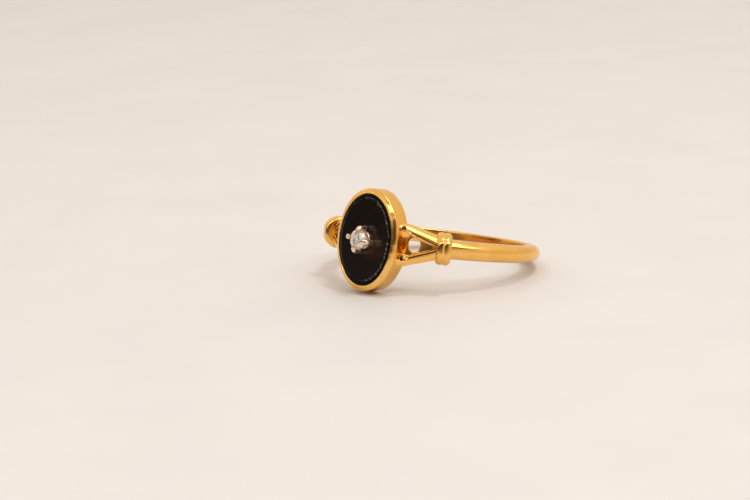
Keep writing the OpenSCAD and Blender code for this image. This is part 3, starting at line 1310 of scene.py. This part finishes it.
@dataclass
class ClawSetting:
    """Small plate on the onyx with four burnished claws, and the peg that holds it through the stone."""

    ring: Ring
    table: float = 10.65
    seat: float = 9.0
    plate_r: float = 0.81
    plate_t: float = 0.22
    peg_r: float = 0.35
    rivet_r: float = 0.56
    rivet_t: float = 0.2
    reach: float = 0.98
    splay: float = 0.06
    claw_r: float = 0.25
    claw_foot: float = 0.2
    claw_steps: tuple[tuple[float, float, float], ...] = (
        (0.28, 0.0, 0.95), (0.26, 0.0, 1.0), (0.2, -0.03, 1.02), (0.14, -0.07, 0.98),
        (0.1, -0.1, 0.9), (0.06, -0.11, 0.78), (0.02, -0.08, 0.6),
    )
    turned_by: float = 9.0
    girdle_rise: float = 0.84
    girdle_half_t: float = 0.02
    diamond_r: float = 0.88
    pavilion: float = 41.0
    crown: float = 34.5
    crown_w: float = 0.62

    def plate(self) -> Piece:
        """Plate, peg and rivet head in one turned piece.

        Returns:
            The plate with its peg.
        """
        rivet, peg, top = self.plate_r - self.rivet_r, self.plate_r - self.peg_r, self.table + self.plate_t
        profile = [
            Corner(rivet, self.seat - self.rivet_t, 0.08, 3),
            Corner(rivet, self.seat, 0.04, 2),
            Corner(peg, self.seat),
            Corner(peg, self.table),
            Corner(0, self.table),
            Corner(0, top, 0.06, 3),
            Corner(0.3, top),
        ]
        return Oval(self.plate_r, self.plate_r, 64).turned("plate", profile)

    def claw(self) -> Piece:
        """One claw: a rod that leans in and thickens to a blob over the diamond's edge.

        Returns:
            The claw, to the right of the diamond. Each step extrudes it by a rise, a lean and a growth.
        """
        top, middle = self.table + self.claw_foot, self.reach + self.splay
        piece = added("claw", bpy.ops.mesh.primitive_cylinder_add, vertices=16, radius=self.claw_r,
                      depth=self.claw_foot, location=(middle, 0, self.table + self.claw_foot / 2))
        place(piece, Matrix.Identity(4))
        with editing(piece):
            pick(piece, Part.FACE, lambda p: p.z > self.table + self.claw_foot - HAIR)
            for rise, lean, grow in self.claw_steps:
                bpy.ops.mesh.extrude_region_move(TRANSFORM_OT_translate={"value": (lean, 0, rise)})
                top, middle = top + rise, middle + lean
                stretch((grow, grow, 1), (middle, 0, top))
            bpy.ops.mesh.poke()
            face_outwards()
        modify(piece, "SUBSURF", levels=2, render_levels=2)
        return piece

    def seat_cutter(self) -> Piece:
        """The room that the diamond takes out of the claws.

        Returns:
            The room's body.
        """
        slope, crown = math.tan(math.radians(self.pavilion)), math.tan(math.radians(self.crown))
        girdle, half, r = self.table + self.girdle_rise, self.girdle_half_t, self.diamond_r
        profile = [
            Corner(r - 0.02, girdle - half - (r - 0.02) * slope),
            Corner(0, girdle - half),
            Corner(0, girdle + half),
            Corner(self.crown_w, girdle + half + self.crown_w * crown),
        ]
        return Oval(r, r, 48).turned("diamond_room", profile)

    def build(self) -> Piece:
        """Models one claw, copies it round, cuts the seats and joins the claws to the plate.

        Returns:
            The claw setting, laid down.
        """
        plate, model = self.plate(), self.claw()
        claws = [copied(model, "claw") for _ in range(3)]
        claws.insert(0, model)
        for quarter, claw in enumerate(claws):
            place(claw, turn(90 * quarter - self.turned_by, "Z"))
            cut_out(claw, self.seat_cutter())
        piece = joined("claw_head", [plate, *claws])
        smooth(piece, 40)
        place(piece, seat_at(0))
        return self.ring.lie_down(piece)


# What stands round the ring


@dataclass(frozen=True)
class Softbox:
    """A soft light that faces the ring, with its place in degrees and its sizes in millimetres.

    Where it isn't mirrored, polished metal takes its light but doesn't show it.
    """

    name: str
    azimuth: float
    elevation: float
    distance: float
    width: float
    height: float
    watts: float
    mirrored: bool = True


@dataclass
class Studio:
    """Pale table, soft light and the camera, placed as in the photograph."""

    ring: Ring
    azimuth: float = 37.7
    elevation: float = 13.4
    roll: float = -1.1
    distance: float = 205.0
    px_per_mm: float = 10.92
    ring_px: tuple[float, float] = (436.2, 241.7)
    frame_px: tuple[int, int] = (750, 500)
    sensor: float = 36.0
    table_half: float = 1500.0
    room: tuple[tuple[float, str], ...] = (
        (0.0, "#E6CDAA"), (0.35, "#EAD9C2"), (0.65, "#F8F1E6"), (0.92, "#E6DCCF"),
    )
    dark: str = "#3A281B"
    dark_azimuth: float = 15.0
    dark_from: tuple[float, float] = (0.18, 0.4)
    dark_top: tuple[float, float, float, float] = (0.2, 0.6, 0.36, 0.79)
    dark_foot: tuple[float, float, float, float] = (0.3, 0.62, -0.3, 0.4)
    dark_blur: float = 0.06
    screen: tuple[float, float, float, float] = (41.0, 32.0, 15.0, 36.0)
    screen_blur: float = 0.15
    room_light: float = 1.03
    light_colour: str = "#FFFBF6"
    lights: tuple[Softbox, ...] = (
        Softbox("window_light", 57, 51, 500, 640, 58, 0.76),
        Softbox("lamp_light", 100, 72, 500, 100, 100, 0.6),
        Softbox("overhead_light", -140, 75, 600, 600, 600, 0.5, mirrored=False),
    )

    def away(self, azimuth: float, elevation: float) -> Vector:
        """Direction from the ring to a place round it; azimuth 0 is towards -Y, 90 towards +X."""
        a, e = math.radians(azimuth), math.radians(elevation)
        return Vector((math.sin(a) * math.cos(e), -math.cos(a) * math.cos(e), math.sin(e)))

    def table(self, material: bpy.types.Material) -> None:
        """The table, a large disc whose edge is out of sight.

        Args:
            material: The disc's material.
        """
        top = added("table_top", bpy.ops.mesh.primitive_circle_add, vertices=96,
                    radius=self.table_half * MM, fill_type="NGON")
        with editing(top):
            pick_all(Part.CORNER)
            bpy.ops.mesh.inset(thickness=0.9 * self.table_half * MM)
            face_outwards()
        if top.data.polygons[0].normal.z < 0:
            top.data.flip_normals()
        top.data.materials.append(material)

    def camera(self) -> None:
        """The camera, aimed at the ring and shifted so that its centre falls where the photograph has it."""
        out = self.away(self.azimuth, self.elevation)
        centre = Vector((0, self.ring.shift, self.ring.lift))
        camera = added("ring_camera", bpy.ops.object.camera_add, location=(centre + out * self.distance) * MM)
        camera.rotation_mode = "QUATERNION"
        roll = Quaternion((0, 0, 1), math.radians(self.roll))
        camera.rotation_quaternion = (-out).to_track_quat("-Z", "Y") @ roll
        width, height = self.frame_px
        camera.data.sensor_width = self.sensor
        camera.data.lens = self.px_per_mm * self.distance / width * self.sensor
        camera.data.shift_x = (width / 2 - self.ring_px[0]) / width
        camera.data.shift_y = (self.ring_px[1] - height / 2) / width
        camera.data.clip_start = 0.01
        camera.data.clip_end = 20
        bpy.context.scene.camera = camera

    def light(self, box: Softbox) -> None:
        """Sets up one soft light that faces the ring.

        Args:
            box: The light.
        """
        out = self.away(box.azimuth, box.elevation)
        lamp = added(box.name, bpy.ops.object.light_add, type="AREA", location=out * box.distance * MM)
        lamp.rotation_mode = "QUATERNION"
        lamp.rotation_quaternion = (-out).to_track_quat("-Z", "Y")
        lamp.data.shape = "RECTANGLE"
        lamp.data.size, lamp.data.size_y = box.width * MM, box.height * MM
        lamp.data.energy = box.watts
        lamp.data.color = tone(self.light_colour)[:3]
        lamp.visible_glossy = box.mirrored

    def surroundings(self) -> None:
        """A pale room all round, with a dark band behind the camera and a tall dark screen.

        The band's top and foot both rise to the right: dark_top and dark_foot give how far to the right
        each starts and ends to rise, and its heights there. The screen is an oval that stands at an azimuth
        and an elevation, and its half width and half height are in degrees too.
        """
        world = bpy.data.worlds.new("studio_surroundings")
        bpy.context.scene.world = world
        world.use_nodes = True
        tree = world.node_tree
        way = add_node(tree, "TexCoord", out="Generated")
        height = add_node(tree, "SeparateXYZ", links={"Vector": way}, out="Z")
        room = add_node(tree, "ValToRGB", {"stops": self.room}, {"Fac": height})
        azimuth, elevation, half_w, half_h = self.screen
        facing, right, beside, above, front = (
            add_node(tree, "VectorMath", {"operation": "DOT_PRODUCT", 1: tuple(axis)}, {0: way}, "Value")
            for axis in (self.away(self.dark_azimuth, 0), self.away(90, 0),
                         self.away(azimuth + 90, 0) / math.sin(math.radians(half_w)),
                         self.away(azimuth, elevation + 90) / math.sin(math.radians(half_h)),
                         self.away(azimuth, elevation))
        )
        step = {"interpolation_type": "SMOOTHSTEP"}
        ends = ("From Min", "From Max", "To Min", "To Max")
        side = add_node(tree, "MapRange", step | dict(zip(ends, self.dark_from)), {"Value": facing})
        top, foot = (
            add_node(tree, "MapRange", dict(zip(ends, line)), {"Value": right})
            for line in (self.dark_top, self.dark_foot)
        )
        low, high = (
            add_node(tree, "MapRange", step | {"From Min": -self.dark_blur, "From Max": self.dark_blur},
                     {"Value": add_node(tree, "Math", {"operation": "SUBTRACT"}, {0: upper, 1: lower})})
            for upper, lower in ((top, height), (height, foot))
        )
        tall = add_node(tree, "Math", {"operation": "MULTIPLY"}, {0: low, 1: high})
        band = add_node(tree, "Math", {"operation": "MULTIPLY"}, {0: side, 1: tall})
        behind = add_node(tree, "MapRange", {"From Min": 0.3, "From Max": 0.0, "To Max": 3.0},
                          {"Value": front})
        spread = add_node(tree, "CombineXYZ", links={"X": beside, "Y": above, "Z": behind})
        off = add_node(tree, "VectorMath", {"operation": "LENGTH"}, {0: spread}, "Value")
        figure = add_node(tree, "MapRange", step | {"From Min": 1 + self.screen_blur,
                                                    "From Max": 1 - self.screen_blur}, {"Value": off})
        shade = add_node(tree, "Math", {"operation": "MAXIMUM"}, {0: band, 1: figure})
        colour = add_node(tree, "Mix", {"data_type": "RGBA", 7: tone(self.dark)},
                          {"Factor": shade, 6: room}, 2)
        set_node(tree.nodes["Background"], {"Strength": self.room_light}, {"Color": colour})

    def build(self) -> None:
        """Sets out the table, the lights and the camera."""
        self.table(PaleTable().material())
        self.surroundings()
        for box in self.lights:
            self.light(box)
        self.camera()
        bpy.context.scene.view_settings.view_transform = "Standard"


def main() -> None:
    """Builds the ring's pieces, dresses them and sets out the studio."""
    logging.basicConfig(level=logging.INFO, format="%(name)s: %(message)s")
    ring = Ring()
    gold = YellowGold().material()
    dress(Shank(ring).build(), gold, "gold_mount")
    models = [(maker, maker.shaped()) for maker in (Shoulder(ring), Collar(ring))]
    for side in Side:
        for maker, model in models:
            dress(maker.build(model, side), gold, "gold_mount")
    for _, model in models:
        bpy.data.objects.remove(model)
    dress(Bezel(ring).build(), gold, "gold_mount")
    dress(Onyx(ring).build(), BlackOnyx(ring.head_mapping()).material(), "onyx_tablet")
    dress(ClawSetting(ring).build(), WhiteGold().material(), "claw_setting")
    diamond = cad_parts["diamond"]
    diamond.data.materials.clear()
    diamond.data.materials.append(CutDiamond().material())
    LOG.info("diamond: %d faces, the solid's own", len(diamond.data.polygons))
    Studio(ring).build()


if __name__ == "__main__":
    main()
